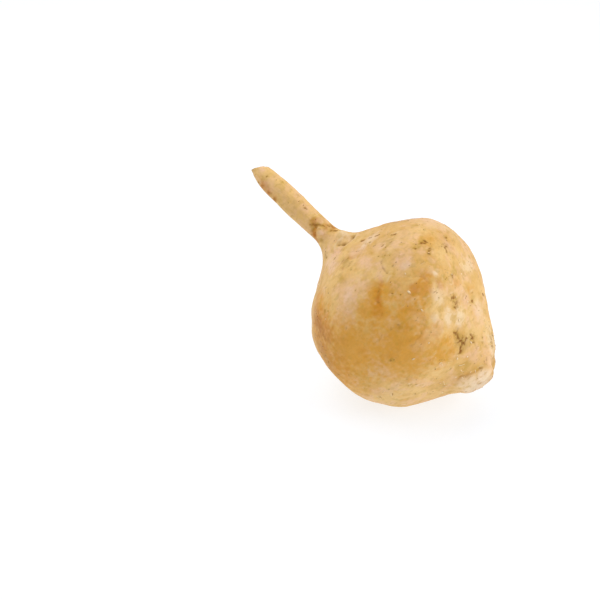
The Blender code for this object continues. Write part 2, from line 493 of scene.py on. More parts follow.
# %% Ring scars
# Each line is a place, half sizes across and along, tilt, rim height in millimetres and
# olive strength.
RING_SCARS = (
    (24, -57, 4, 8.5, -15, 0.16, 0.4),
    (29, -56, 2, 3.5, -5, 0.12, 0.1),
    (28.5, -67, 3, 6, -10, 0.1, 0.3),
    (39, -48, 3, 5, 0, 0.08, 0),
    (58.5, -22, 2.4, 2.3, 30, 0.2, 0.2),
    (57, -13, 2, 1.8, 20, 0.16, 0.3),
    (77, -59, 2.4, 2, 0, 0.18, 0.1),
    (-47.5, -24, 1.6, 2.2, 0, 0.26, 0.9),
    (50, -18, 1.2, 1, 0, 0.14, 0.9),
    (128.5, 4, 2.4, 1.8, 30, 0.18, 0.1),
    (38, 95, 3, 2, 0, 0.22, 0.4),
    (70, 130, 2.6, 1.9, 0, 0.22, 0.2),
    (88, 60, 2.2, 1.5, 0, 0.18, 0.2),
    (44, 160, 2.6, 1.8, 0, 0.2, 0.3),
)
# Where the rim stands and how wide it is, as shares of a scar's half size.
RIM_AT = 0.85
RIM_WIDTH = 0.24
broken_up = between(rough(3.6, 44.1, 2), -0.20, 0.35)
for at_along, at_around, half_across, half_along, tilt, rim, olive in RING_SCARS:
    reach = spot_reach(at_along, at_around, half_across, half_along, tilt, 0.35)
    ring = np.exp(-(((reach - RIM_AT) / RIM_WIDTH) ** 2))
    sunken = 1 - between(reach, 0.35, 0.75)
    height += rim * ring * (0.4 + 0.6 * broken_up) - 0.8 * rim * sunken
    paint("scarred", 2.2 * rim * ring * broken_up)
    paint("olive", olive * (1 - between(reach, 0.5, 1.1)))
print("ring scars:", len(RING_SCARS))

# %% Creases and grooves
# Each line is its points (along, around), half width, depth, scar and soil strength.
CREASES = (
    (((10.5, -50), (12.5, -42), (14, -34), (13.5, -20), (12, -9)), 1.1, 1.1, 0.35, 0.7),
    (((-2, -99), (-0.5, -91)), 1, 0.2, 0.4, 0.05),
    (((7, -104), (9.5, -99)), 0.9, 0.2, 0.55, 0.05),
    (((20, -26), (21, -24)), 0.75, 0.3, 0.95, 0.2),
    (((23, -21), (23.5, -20)), 0.7, 0.25, 0.8, 0.15),
    (((25, -18), (26.5, -16)), 0.8, 0.32, 1, 0.25),
    (((15.5, -50), (20, -47), (26, -38), (24, -29)), 0.7, 0.35, 0.28, 0.05),
    (((116, -13), (119, -15)), 0.7, 0.15, 0.35, 0),
    (((127, -2), (129.5, 2), (128, 7), (126.5, 4)), 0.6, 0.18, 0.45, 0),
    (((89, -52), (90.5, -56), (91, -60), (90.5, -64)), 0.6, 0.24, 0.35, 0.05),
    (((73, -70), (74, -74), (73, -78)), 0.6, 0.22, 0.3, 0.05),
    (((64.5, -60), (66, -64), (65, -69)), 0.6, 0.18, 0.25, 0.05),
    (((41, -37), (45, -40), (49, -41)), 0.75, 0.22, 0.5, 0.1),
    (((60, -34), (66, -28), (72, -28), (76, -31)), 0.7, 0.25, 0.25, 0),
    (((-56, -116), (-54.5, -109)), 0.9, 0.25, 0.45, 0.05),
    (((-49.5, -112), (-47.5, -104)), 0.9, 0.25, 0.45, 0.05),
    (((-44, -118), (-42.5, -110)), 0.9, 0.25, 0.45, 0.05),
    (((4, 60), (10, 80), (16, 110)), 0.9, 0.5, 0.35, 0.4),
    (((52, 118), (60, 110), (70, 112), (80, 120)), 0.8, 0.45, 0.35, 0.3),
    (((104, 100), (110, 84), (112, 62)), 0.8, 0.4, 0.4, 0.3),
)


def line_distance(points):
    """Distance in millimetres from every skin point to a bent line over the skin."""
    stops = [crooked[nearest_point(a, b)] for a, b in points]
    shortest = np.full(count, 1e9)
    for first, last in zip(stops, stops[1:]):
        way = last - first
        share = np.clip((crooked - first) @ way / way.dot(way), 0, 1)
        gap = np.linalg.norm(crooked - first - share[:, None] * way, axis=1)
        shortest = np.minimum(shortest, gap)
    return shortest


# Where the lip stands, in half widths of the groove.
LIP_AT = 2.2
for points, half_width, depth, scar, soil in CREASES:
    gap = line_distance(points) + 0.45 * half_width * UNEVEN
    groove = np.exp(-((gap / half_width) ** 2))
    lip = np.exp(-(((gap - LIP_AT * half_width) / half_width) ** 2))
    deep = min(1.0, depth)
    height += depth * (0.35 * deep * lip - groove)
    paint("scarred", scar * groove * (0.8 + 0.5 * lumps))
    paint("soil_and_shade", soil * groove**2)
    paint("pale", 0.35 * deep**2 * lip)
print("creases:", len(CREASES))

# %% [markdown]
# ## Torn bark and scabs
#
# Where a rootlet was pulled off, the bark tore in short branching lines, and a scab with
# fine cracks grew beside them. A texture could draw the tear, yet its lips catch light, so
# each line is carved. Noise with features of about two millimetres, added to the distance,
# makes its edge ragged. The cracks of a scab are the borders of Voronoi cells.

# %% Torn bark where a rootlet came off
# Each line is its points (along, around), half width, depth and colour strength.
TORN_LINES = (
    (((102.5, -32), (106, -30), (108.5, -29), (111, -27)), 0.75, 0.3, 0.68),
    (((108.5, -29), (107.5, -24)), 0.5, 0.2, 0.3),
    (((111, -27), (111.5, -34), (113.5, -38)), 0.85, 0.3, 0.85),
    (((109, -31), (107.5, -36)), 0.55, 0.2, 0.5),
    (((104, -30), (102.5, -26)), 0.55, 0.2, 0.45),
    (((110, -24), (109.5, -20)), 0.6, 0.2, 0.6),
    (((110, -11), (112, -12), (114.5, -13)), 0.75, 0.2, 0.6),
    (((111, -8), (112.5, -14)), 0.5, 0.12, 0.45),
    (((-14, -76), (-12.5, -68), (-11, -58)), 0.65, 0.2, 0.55),
    (((-10, -51), (-8, -43), (-6, -34)), 0.65, 0.2, 0.58),
    (((-16, -62), (-14, -54)), 0.5, 0.15, 0.3),
    (((-10.5, -62), (-9, -70), (-7.5, -86), (-6, -103)), 0.9, 0.35, 0.4),
    (((-1.5, -26), (0.5, -20), (2, -16)), 0.75, 0.18, 0.85),
    (((-5, -14), (-3, 0), (-1, 6)), 0.7, 0.2, 0.5),
)
torn_edge = rough(1.7, 97.4, 2)
for points, half_width, depth, strength in TORN_LINES:
    gap = line_distance(points) + half_width * (0.5 * UNEVEN + 1.1 * torn_edge)
    torn = np.exp(-((gap / half_width) ** 2))
    height -= depth * torn
    paint("scarred", strength * torn)
    paint("olive", 0.8 * strength * np.exp(-((gap / (2.4 * half_width)) ** 2)))
print("torn lines:", len(TORN_LINES))

# %% Cracked scabs
# Each line is a place, half sizes across and along, tilt, depth and colour strength.
SCABS = (
    (105, -32, 2.4, 3.5, 20, 0.16, 0.45),
    (110, -28, 3.5, 2.6, 40, 0.2, 0.5),
    (112.5, -34, 2.4, 2.8, 0, 0.16, 0.5),
    (112, -12, 2.4, 3.5, 35, 0.14, 0.4),
    (-11, -56, 4.5, 3.5, -5, 0.18, 0.16),
    (-3, -20, 5, 2.6, -15, 0.16, 0.28),
    (78, -7, 4.5, 2.4, 25, 0.2, 0.36),
    (90.5, -17, 3, 3.5, 25, 0.24, 0.6),
    (24, -58, 4.5, 9, -15, 0.1, 0.14),
    (96, -44, 6, 5, 0, 0.15, 0.25),
    (60, 2, 9, 4, 10, 0.18, 0.35),
    (122, 22, 2.6, 6, 0, 0.3, 0.6),
    (66, 136, 6, 5, 0, 0.3, 0.7),
    (100, 120, 5, 7, 20, 0.3, 0.7),
    (40, -150, 6, 5, 0, 0.3, 0.6),
)
CRACK_CELL = 2.6


def crack_lines():
    """1 along the borders of the skin's crack cells, 0 inside them."""
    lines = np.empty(count)
    for index, place in enumerate((crooked / CRACK_CELL).tolist()):
        gaps = noise.voronoi(Vector(place))[0]
        lines[index] = gaps[1] - gaps[0]
    return 1 - between(lines, 0.04, 0.30)


cracks = crack_lines()
for at_along, at_around, half_across, half_along, tilt, depth, strength in SCABS:
    reach = spot_reach(at_along, at_around, half_across, half_along, tilt, 0.45)
    inside = 1 - between(reach, 0.45, 1.25)
    height += inside * depth * (0.5 - cracks)
    paint("scarred", strength * inside * (0.14 + 0.86 * cracks) * (0.9 + 0.5 * UNEVEN))
    paint("olive", 0.50 * strength * inside)
print("scabs:", len(SCABS))

# %% [markdown]
# ## Specks and lenticels
#
# Lenticels are the pores of the skin. They are lens shaped and lie across the growth
# line, because the skin stretched that way while the tuber swelled. The largest dark ones
# have places of their own. The rest are scattered by seeded chance: a point is drawn, and
# kept more often where the skin is flaky. A search tree finds the few points round each.

# %% Single dark specks
# Each line is a place and the half sizes across and along.
SINGLES = (
    (87.5, -80, 1.6, 1.1),
    (89, -79, 0.9, 0.7),
    (77.5, -7, 1.4, 1),
    (87.5, -16, 2.4, 1.6),
    (92, -18, 1.6, 1.2),
    (96, 6, 2, 1.1),
    (97, 29, 2.6, 1.3),
    (61.5, 1, 2, 1.2),
    (66.5, 1, 1.2, 0.9),
    (36.5, -27, 1.1, 0.8),
    (63, -2, 1.2, 1),
    (57, 8, 2.4, 0.9),
    (50.5, -11, 2.2, 1.1),
    (52, -9, 1, 1.2),
    (56.5, -12, 1.8, 1),
    (58.5, -15, 1, 1),
    (50, -18, 1.2, 1.2),
    (34, -15, 1.8, 0.9),
    (26, -27, 1, 0.7),
    (38, -36, 1, 0.9),
    (116, 6, 1.2, 0.8),
    (116.5, 36, 1.2, 1.4),
    (119, 33, 1, 1.4),
    (124, 22, 1.2, 1.2),
    (30, -30, 0.9, 0.7),
    (43, -62, 0.9, 0.6),
    (70, -48, 0.9, 0.6),
    (31, -56, 0.8, 0.8),
    (-36, -60, 0.8, 1.1),
    (-24, -35, 0.8, 1),
    (-57, -66, 0.7, 0.8),
)
SPECK_SEED = 20
chance = random.Random(SPECK_SEED)
for at_along, at_around, half_across, half_along in SINGLES:
    tilt = chance.uniform(-30, 30)
    reach = spot_reach(at_along, at_around, half_across, half_along, tilt, 0.7)
    crust = 1 - between(reach, 0.45, 1.20)
    height += chance.choice((-0.12, 0.08)) * crust
    paint("scarred", 0.80 * crust * (0.45 + 0.55 * cracks))
    paint("olive", 0.60 * (1 - between(reach, 0.6, 2.2)))
print("single specks:", len(SINGLES))

# %% Lenticels scattered over the skin
# The tilt is its spread in degrees. The reach, in millimetres, takes in the largest.
LENTICELS = 380
LENTICEL_TILT = 22
LENTICEL_REACH = 4.5
tree = kdtree.KDTree(count)
for index, place in enumerate(grown.tolist()):
    tree.insert(place, index)
tree.balance()

# The low front and the shoulder are smoother than the rest.
smooth_front = spot_reach(72.0, -82.0, 34.0, 34.0)
smooth_shoulder = spot_reach(30.0, -55.0, 18.0, 30.0)
paint("flaky", between(smooth_front, 0.6, 1.25) * between(smooth_shoulder, 0.6, 1.2))
crowding = 0.12 + 0.88 * masks["flaky"] * between(lumps + 0.6 * waves, -0.25, 0.35)
crowding *= 1 - 0.9 * between(end_ring, 128, 132)
placed = 0
while placed < LENTICELS:
    index = chance.randrange(count)
    if start[index, 2] * MM < 3 or chance.random() > crowding[index]:
        continue
    across, down, _ = skin_directions(index)
    across, down = turned(across, down, chance.gauss(0, LENTICEL_TILT))
    half_across = chance.uniform(0.7, 1.7)
    half_along = half_across * chance.uniform(0.35, 0.75)
    if along[index] < 0:
        half_across, half_along = 0.5 * half_across, 0.7 * half_across
    near = np.array([hit[1] for hit in tree.find_range(grown[index].tolist(), LENTICEL_REACH)])
    away = crooked[near] - crooked[index]
    reach = np.sqrt((away @ across / half_across) ** 2 + (away @ down / half_along) ** 2)
    lens_shape = 1 - between(reach + 0.3 * UNEVEN[near], 0.35, 1.20)
    flake_side = chance.choice((-1, 1)) * (away @ down) / half_along
    flake = np.exp(-(((reach - 1.3) / 0.45) ** 2)) * between(flake_side, 0.2, 1.0)
    height[near] += chance.choice((-0.11, -0.08, 0.05, 0.08)) * lens_shape + 0.03 * flake
    strength = chance.choice((0.15, 0.25, 0.4, 0.6)) * lens_shape
    masks["scarred"][near] = np.maximum(masks["scarred"][near], strength)
    masks["pale"][near] = np.maximum(masks["pale"][near], 0.45 * flake * masks["flaky"][near])
    halo = chance.choice((0.0, 0.25, 0.5)) * np.exp(-((reach / 2.0) ** 2))
    masks["olive"][near] = np.maximum(masks["olive"][near], halo)
    placed += 1
print("lenticels:", placed)

# %% [markdown]
# ## Both ends of the root
#
# At the root end the tap root broke away and left a pale nub behind a brown groove. At
# the other end the stalk was snapped: its break is fibrous, with a soft pith in the
# middle. Both are carved as height, because they show from behind and from below.

# %% The groove and the folds of the root end
END_GROOVE = 132.0
NUB_FOLDS = 7
end_edge = end_ring + 1.6 * lumps + 0.8 * dimples - END_GROOVE
torn_part = 0.10 + 0.90 * between(np.cos(around - math.radians(-50)), 0.72, 0.98)
groove = np.exp(-((end_edge / 0.9) ** 2)) * between(along, 112, 118) * torn_part
height -= 0.34 * groove
paint("browned_and_shade", 0.8 * groove)
paint("scarred", 0.45 * groove * (0.7 + 0.6 * lumps))
nub = between(end_edge, -1.5, 5.0) * between(along, 112, 118)
spokes = np.cos(NUB_FOLDS * around + 2.5 * waves + 3.0 * lumps)
height += nub * (0.09 * spokes + 0.14 * dimples)
paint("pale", 1.0 * nub)
paint("rosy", 0.70 * nub * between(lumps, -0.3, 0.2))
paint("olive", 0.10 * nub * between(-dimples, 0.1, 0.4))
print(f"root end: {int(nub.sum())} points in the nub")

# %% The fibrous break of the stalk
BREAK_FACES = np.array([-0.72, 0.55, 0.43])
BREAK_FACES /= np.linalg.norm(BREAK_FACES)
on_break = between(grown_facing @ BREAK_FACES, 0.80, 0.95) * (1 - between(along, -60, -56))
stalk_middle = np.array([-66.0, -1.4, -1.8])
from_pith = np.linalg.norm(np.cross(grown - stalk_middle, np.array([1.0, 0.0, 0.0])), axis=1)
splinters = rough(1.3, 91.5, 2, stretch=(0.2, 1.0, 1.0))
height += on_break * (0.45 * splinters - 0.55 * (1 - between(from_pith, 0.8, 2.4)))
paint("pale", 0.75 * on_break)
paint("scarred", 0.50 * on_break * between(from_pith, 3.4, 5.0))
print(f"break: {int(on_break.sum())} points")

# %% [markdown]
# ## The relief moves the skin
#
# Each point moves along its own normal by its height. The masks and the growth
# coordinates stay on the mesh as attributes, which travel with it to the material. The
# skin then stands for the solid: the solid keeps its weight and its collision.

# %% Moving the points and keeping the masks
height *= above_rest
moved = start + facing * (height / MM)[:, None]
moved[:, 2] = np.maximum(moved[:, 2], 0.0)
skin.data.vertices.foreach_set("co", moved.astype(np.float32).ravel())
skin.data.update()

hollow = between(-(height - WAVE_HEIGHT * waves * on_tuber), 0.06, 0.55)
paint("soil_and_shade", 0.20 * hollow)
for name, strength in masks.items():
    mask_layer = skin.data.attributes.new(name, "FLOAT", "POINT")
    mask_layer.data.foreach_set("value", strength.astype(np.float32))
growth_layer = skin.data.attributes.new("growth", "FLOAT_VECTOR", "POINT")
growth_layer.data.foreach_set("vector", grown.astype(np.float32).ravel())
stalk_layer = skin.data.attributes.new("stalk", "FLOAT", "POINT")
stalk_layer.data.foreach_set("value", on_stalk.astype(np.float32))
skin.data.shade_smooth()

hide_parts("root_with_stalk")
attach(skin, "root")
print(f"height {height.min():.2f} to {height.max():.2f} mm")

# %% [markdown]
# ## Shader maths that reads like arithmetic
#
# A material is a graph of nodes, and long graphs are hard to follow. Here a socket is
# wrapped in a small class whose operators add the Math nodes, so `1 - mask` is a node
# too. Colours are never summed: they go through Mix nodes, which keep their hue.

# %% A wire through the nodes
class Wire:
    """A number on its way through a material. Arithmetic on it adds Math nodes."""

    def __init__(self, recipe, socket):
        self.recipe = recipe
        self.socket = socket

    def math(self, operation, *values):
        """The result of a Math node on these values."""
        sockets = dict(enumerate(values))
        return self.recipe.node("Math", {"operation": operation}, sockets)

    def __add__(self, other):
        return self.math("ADD", self, other)

    def __radd__(self, other):
        return self.math("ADD", other, self)

    def __sub__(self, other):
        return self.math("SUBTRACT", self, other)

    def __rsub__(self, other):
        return self.math("SUBTRACT", other, self)

    def __mul__(self, other):
        return self.math("MULTIPLY", self, other)

    def __rmul__(self, other):
        return self.math("MULTIPLY", other, self)

    def step(self, low, high):
        """0 below low, 1 above high, with a soft step between them."""
        return self.recipe.node(
            "MapRange",
            {"interpolation_type": "SMOOTHSTEP"},
            {"Value": self, "From Min": low, "From Max": high},
        )


class Recipe:
    """A material under construction, with one method for every kind of node."""

    def __init__(self, name):
        self.material = bpy.data.materials.new(name)
        self.material.use_nodes = True
        self.tree = self.material.node_tree
        self.tree.nodes.clear()
        self.shader = self.add("BsdfPrincipled", {}, {})
        self.add("OutputMaterial", {}, {"Surface": Wire(self, self.shader.outputs[0])})

    def feed(self, socket, value):
        """Links a wire to a socket, or sets the socket's own value."""
        if isinstance(value, Wire):
            self.tree.links.new(value.socket, socket)
        else:
            socket.default_value = value

    def add(self, kind, settings, sockets):
        """Adds a node: its settings first, then its sockets by name, identifier or number."""
        made = self.tree.nodes.new("ShaderNode" + kind)
        for key, value in settings.items():
            setattr(made, key, value)
        by_name = {s.name: s for s in reversed(made.inputs)}
        by_name.update({s.identifier: s for s in made.inputs})
        for key, value in sockets.items():
            self.feed(made.inputs[key] if isinstance(key, int) else by_name[key], value)
        return made

    def node(self, kind, settings, sockets, out=0):
        """Adds a node and gives the wire from one of its outputs."""
        return Wire(self, self.add(kind, settings, sockets).outputs[out])

    def attribute(self, name, out="Fac"):
        """What is painted on the mesh under this name."""
        return self.node("Attribute", {"attribute_name": name}, {}, out)

    def noise(self, place, size, detail=2.0, out="Fac"):
        """Noise with features of a size, in the unit of the place."""
        sockets = {"Vector": place, "Scale": 1 / size, "Detail": detail}
        return self.node("TexNoise", {}, sockets, out)

    def cells(self, place, out="Distance"):
        """The distance to the nearest of many random points, or that point's own colour."""
        sockets = {"Vector": place, "Scale": 1.0, "Randomness": 1.0}
        return self.node("TexVoronoi", {"feature": "F1"}, sockets, out)

    def stretched(self, place, stretch, shift=0.0):
        """The same place with each axis scaled, and shifted to another part of the noise."""
        settings = {"operation": "MULTIPLY_ADD"}
        sockets = {0: place, 1: stretch, 2: (shift, shift, shift)}
        return self.node("VectorMath", settings, sockets, "Vector")

    def warped(self, place, size, amount):
        """A place pushed about by noise, which makes straight borders crooked."""
        push = self.noise(place, size, 2.0, "Color")
        settings = {"operation": "MULTIPLY_ADD"}
        sockets = {0: push, 1: (amount, amount, amount), 2: place}
        return self.node("VectorMath", settings, sockets, "Vector")

    def mix(self, share, first, second, blend="MIX"):
        """A colour between two colours, which may be numbers or wires."""
        colours = {"Factor_Float": share, "A_Color": first, "B_Color": second}
        settings = {"data_type": "RGBA", "blend_type": blend}
        return self.node("Mix", settings, colours, 2)

    def finish(self, **sockets):
        """Sets or links the shader's own sockets, written with underscores for spaces."""
        for key, value in sockets.items():
            self.feed(self.shader.inputs[key.replace("_", " ")], value)
        return self.material


def colour(red, green, blue):
    """A linear colour from the 0 to 255 numbers that a colour picker shows."""
    values = [c / 255 for c in (red, green, blue)]
    linear = [v / 12.92 if v <= 0.04045 else ((v + 0.055) / 1.055) ** 2.4 for v in values]
    return (*linear, 1.0)


# %% [markdown]
# ## The skin's finish
#
# Jicama skin is a thin sheet of cork over pale flesh. Where it is thick it looks tan,
# where it is thin it looks rosy or cream, and where it healed it is brown. So the
# colour starts as tan, is clouded at four scales, and the painted masks are laid over.

# %% The tones of the skin
skin_recipe = Recipe("root_skin")
place = skin_recipe.attribute("growth", "Vector")
crooked_place = skin_recipe.warped(place, 5.0, 3.0)
across_place = skin_recipe.stretched(crooked_place, (1.3, 0.9, 0.9))

TAN = colour(226, 178, 102)
STRAW = colour(234, 192, 122)
ROSY = colour(238, 192, 152)
CREAM = colour(249, 229, 200)
OCHRE = colour(220, 153, 32)
RUST = colour(194, 114, 12)
MOSS = colour(214, 166, 78)
BARK = colour(146, 92, 14)
OLIVE = colour(188, 148, 40)
# Soil brown, also used for the painted shadow on the left flank.
SOIL_AND_SHADE = colour(118, 76, 20)


def cloudy(size, shift):
    """Cloudy noise over the skin, sampled away from every other cloud's place."""
    return skin_recipe.noise(skin_recipe.stretched(crooked_place, (1, 1, 1), shift), size)


clouds = cloudy(24.0, 0)
blotches = cloudy(11.0, 40)
stains = cloudy(9.0, 90)
mottle = cloudy(6.5, 70)
patchy = cloudy(4.6, 130)
flecks = skin_recipe.noise(across_place, 4.4, 2.0)
dust = skin_recipe.noise(place, 1.4, 1.0)
flaky = skin_recipe.attribute("flaky")

tone = skin_recipe.mix(clouds.step(0.38, 0.62), TAN, STRAW)
tone = skin_recipe.mix(blotches.step(0.48, 0.60) * 0.50, tone, ROSY)
tone = skin_recipe.mix(stains.step(0.50, 0.62) * 0.45, tone, MOSS)
tone = skin_recipe.mix(patchy.step(0.54, 0.64) * 0.18, tone, OCHRE)

stalk = skin_recipe.attribute("stalk")
fibre_place = skin_recipe.stretched(place, (0.16, 1.0, 1.0))
fibres = skin_recipe.noise(fibre_place, 1.5, 3.0)
tone = skin_recipe.mix(stalk * 0.82, tone, STRAW)
tone = skin_recipe.mix(stalk * mottle.step(0.46, 0.58) * 0.35, tone, ROSY)
tone = skin_recipe.mix(stalk * fibres.step(0.46, 0.70) * 0.28, tone, MOSS)

# The browned mask also carries painted shadow on the left flank.
browned_and_shade = skin_recipe.attribute("browned_and_shade")
tone = skin_recipe.mix(browned_and_shade * (0.90 + 0.2 * mottle), tone, OCHRE)
tone = skin_recipe.mix(browned_and_shade * mottle.step(0.50, 0.66) * 0.18, tone, RUST)
tone = skin_recipe.mix(browned_and_shade * patchy.step(0.52, 0.68) * 0.14, tone, STRAW)
rosy = skin_recipe.attribute("rosy")
tone = skin_recipe.mix(rosy * (0.42 + 0.52 * mottle.step(0.34, 0.56)), tone, ROSY)
# The rusty mask also carries painted shadow and painted orange reflection on the left flank.
rusty_and_shade = skin_recipe.attribute("rusty_and_shade")
tone = skin_recipe.mix(rusty_and_shade * (0.65 + 0.6 * mottle), tone, RUST)
pale = skin_recipe.attribute("pale")
tone = skin_recipe.mix(pale * (0.38 + 0.44 * flecks.step(0.30, 0.66)), tone, CREAM)
# The olive mask also holds the painted shade beside the knob.
olive = skin_recipe.attribute("olive")
tone = skin_recipe.mix(olive * (0.25 + 0.50 * patchy.step(0.38, 0.56)), tone, OLIVE)

# %% [markdown]
# ## Small marks in the material
#
# The finest specks are smaller than a face, so they can't be painted on points. They come
# from Voronoi cells in the shader, each with its own size. The carved scars get their bark
# colour here too, broken up by fine noise so that no painted edge stays smooth.

# %% Specks, scars and soil over the tones
speck_place = skin_recipe.stretched(crooked_place, (0.50, 0.30, 0.30))
speck_gap = skin_recipe.cells(speck_place)
speck_luck = skin_recipe.cells(speck_place, out="Color")
speck_size = skin_recipe.node("SeparateColor", {}, {"Color": speck_luck}, "Red")
crowd = mottle.step(0.42, 0.54) * (0.15 + 0.85 * flaky)
specks = (0.04 + 0.20 * speck_size - speck_gap).step(0.0, 0.09) * crowd
tone = skin_recipe.mix(specks * 0.75, tone, BARK)

flakes = flecks.step(0.50, 0.66) * (0.15 + 0.85 * flaky)
tone = skin_recipe.mix(flakes * 0.30, tone, STRAW)
tone = skin_recipe.mix(flecks.step(0.46, 0.32) * (0.15 + 0.17 * flaky), tone, OLIVE)

scarred = skin_recipe.attribute("scarred")
scar_share = (scarred * (0.30 + 1.45 * dust)).step(0.06, 0.92)
tone = skin_recipe.mix(scar_share, tone, BARK)
# The soil mask also carries painted shadow on the left flank.
soil_and_shade = skin_recipe.attribute("soil_and_shade")
tone = skin_recipe.mix(soil_and_shade * 0.85, tone, SOIL_AND_SHADE)
shade = skin_recipe.mix(dust.step(0.30, 0.70), (0.97, 0.97, 0.96, 1), (1.03, 1.03, 1.03, 1))
tone = skin_recipe.mix(1.0, tone, shade, "MULTIPLY")

# %% Sheen and fine grain
GRAIN_DEPTH = 0.00025
roughness = 0.52 + 0.14 * blotches + 0.20 * scarred + 0.12 * soil_and_shade + 0.06 * stalk
pimples = skin_recipe.noise(place, 0.6, 2.0)
surface = 0.14 * pimples + (0.25 + 0.6 * flaky) * flecks + 0.5 * mottle - 0.3 * specks
grain_sockets = {"Strength": 0.55, "Distance": GRAIN_DEPTH, "Height": surface}
bump = skin_recipe.node("Bump", {}, grain_sockets, "Normal")
skin.data.materials.clear()
skin.data.materials.append(
    skin_recipe.finish(
        Base_Color=tone,
        Roughness=roughness,
        Normal=bump,
        Specular_IOR_Level=0.40,
    )
)
print("skin material:", len(skin_recipe.tree.nodes), "nodes")

# %% [markdown]
# ## What clings to the root
#
# A root from the ground keeps torn rootlets, thin flakes of its outer cork and crumbs of
# dry soil. They could be drawn on the skin, but their small shadows would be missing. So
# each is a body of its own, closed all round, and sits on a real point of the skin.

# %% A place on the finished skin
skin_facing = np.empty(count * 3, np.float32)
skin.data.vertex_normals.foreach_get("vector", skin_facing)
skin_facing = skin_facing.reshape(-1, 3).astype(float)
GROWTH_LINE = Vector(TURN[:, 0])


def seat(index):
    """A skin point with the directions out of, across and along the root there."""
    out = Vector(skin_facing[index])
    down = (GROWTH_LINE - out * out.dot(GROWTH_LINE)).normalized()
    return Vector(moved[index]), out, down.cross(out), down


def loose_piece(name, shape, recipe_material):
    """Turns a finished shape into a smooth object that rides on the root."""
    bmesh.ops.recalc_face_normals(shape, faces=shape.faces)
    mesh = bpy.data.meshes.new(name)
    shape.to_mesh(mesh)
    shape.free()
    mesh.shade_smooth()
    mesh.materials.append(recipe_material)
    piece = bpy.data.objects.new(name, mesh)
    bpy.context.scene.collection.objects.link(piece)
    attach(piece, "root")
    print(f"{name}: {len(mesh.polygons)} faces")


# %% Torn rootlets
# Each line is a place, the length in millimetres and the lean across the root.
ROOTLETS = (
    (118.5, -52, 4.6, -0.7),
    (120.5, -55, 3.4, 0.5),
    (110, -60, 3.2, 0.8),
    (112.5, -57, 1.8, -0.4),
    (127, -30, 2.6, 0.9),
    (124, -66, 3, 0.6),
    (121, -78, 3.6, -0.8),
    (118, -92, 4.4, 0.4),
    (120, -110, 3.8, -0.5),
    (122, -140, 4.2, 0.7),
    (118, 160, 3.6, -0.6),
    (124, 120, 3, 0.5),
    (104, -96, 2.6, -0.9),
    (96, 140, 3.2, 0.8),
    (80, 120, 2.4, -0.5),
    (62, 150, 2.8, 0.6),
    (38, 120, 2.2, -0.7),
    (12, -98, 1.8, 0.9),
    (9, 90, 2.4, -0.8),
    (-20, 120, 2, 0.6),
)
ROOTLET_SEED = 31
ROOTLET_STOPS = 9
ROOTLET_SIDES = 6
ROOTLET_SINK = 0.0004


def add_rootlet(shape, index, length, lean, chance):
    """A thin tapered tube that leaves the skin and bends back towards it."""
    place, out, across, down = seat(index)
    way = (out * 0.75 + across * lean + down * chance.uniform(0.3, 1.1)).normalized()
    stride = length / MM / (ROOTLET_STOPS - 1)
    thick = chance.uniform(0.26, 0.38) / MM
    curl = chance.uniform(-0.35, 0.35)
    middle = place - out * ROOTLET_SINK
    rings = []
    for stop in range(ROOTLET_STOPS):
        share = stop / (ROOTLET_STOPS - 1)
        side = across.cross(way).normalized()
        other = way.cross(side)
        half = thick * (1.0 - 0.75 * share)
        ring = []
        for corner in range(ROOTLET_SIDES):
            angle = math.tau * corner / ROOTLET_SIDES
            spoke = side * math.cos(angle) + other * math.sin(angle)
            ring.append(shape.verts.new(middle + spoke * half))
        rings.append(ring)
        middle = middle + way * stride
        way = (way - out * 0.16 + across * curl * 0.5 + down * 0.10).normalized()
    for first, last in zip(rings, rings[1:]):
        for corner in range(ROOTLET_SIDES):
            after = (corner + 1) % ROOTLET_SIDES
            shape.faces.new((first[corner], first[after], last[after], last[corner]))
    shape.faces.new(rings[0][::-1])
    shape.faces.new(rings[-1])


chance = random.Random(ROOTLET_SEED)
rootlet_shape = bmesh.new()
for at_along, at_around, length, lean in ROOTLETS:
    add_rootlet(rootlet_shape, nearest_point(at_along, at_around), length, lean, chance)
rootlet_recipe = Recipe("rootlet")
spot = rootlet_recipe.node("TexCoord", {}, {}, "Object")
streaks = rootlet_recipe.noise(spot, 0.0008, 2.0)
rootlet_tone = rootlet_recipe.mix(streaks.step(0.35, 0.65), colour(236, 200, 140), colour(254, 236, 196))
loose_piece("rootlets", rootlet_shape, rootlet_recipe.finish(Base_Color=rootlet_tone, Roughness=0.7))

# %% Loose flakes of the outer cork
# Each large flake is a place, its half size and its lift in millimetres.
LARGE_FLAKES = (
    (119, 34, 1.3, 1.1),
    (67, -40, 1.3, 0.5),
    (109.5, -62, 1.2, 0.6),
    (88, -14, 1.1, 0.5),
)
FLAKE_SEED = 47
FLAKES = 64
FLAKE_CORNERS = 9
FLAKE_THICKNESS = 0.07 / MM
FLAKE_GAP = 0.02 / MM


def add_flake(shape, index, size, lift, chance):
    """A thin closed flake, held at one edge and curled away from the skin at the other."""
    place, out, across, down = seat(index)
    turn = chance.uniform(0, math.tau)
    first = across * math.cos(turn) + down * math.sin(turn)
    second = out.cross(first)
    sides = []
    reaches = [chance.uniform(0.65, 1.15) for _ in range(FLAKE_CORNERS)]
    for layer_height in (0.0, FLAKE_THICKNESS):
        ring = []
        for corner, reach in enumerate(reaches):
            angle = math.tau * corner / FLAKE_CORNERS
            u = math.cos(angle) * reach
            v = math.sin(angle) * reach * 0.62
            rise = lift * ((u + 1.15) / 2.3) ** 2 + layer_height + FLAKE_GAP
            ring.append(shape.verts.new(place + first * u * size + second * v * size + out * rise))
        centre = place + out * (lift * 0.25 + layer_height + FLAKE_GAP)
        sides.append((ring, shape.verts.new(centre)))
    (low, low_middle), (high, high_middle) = sides
    for corner in range(FLAKE_CORNERS):
        after = (corner + 1) % FLAKE_CORNERS
        shape.faces.new((low[after], low[corner], low_middle))
        shape.faces.new((high[corner], high[after], high_middle))
        shape.faces.new((low[corner], low[after], high[after], high[corner]))


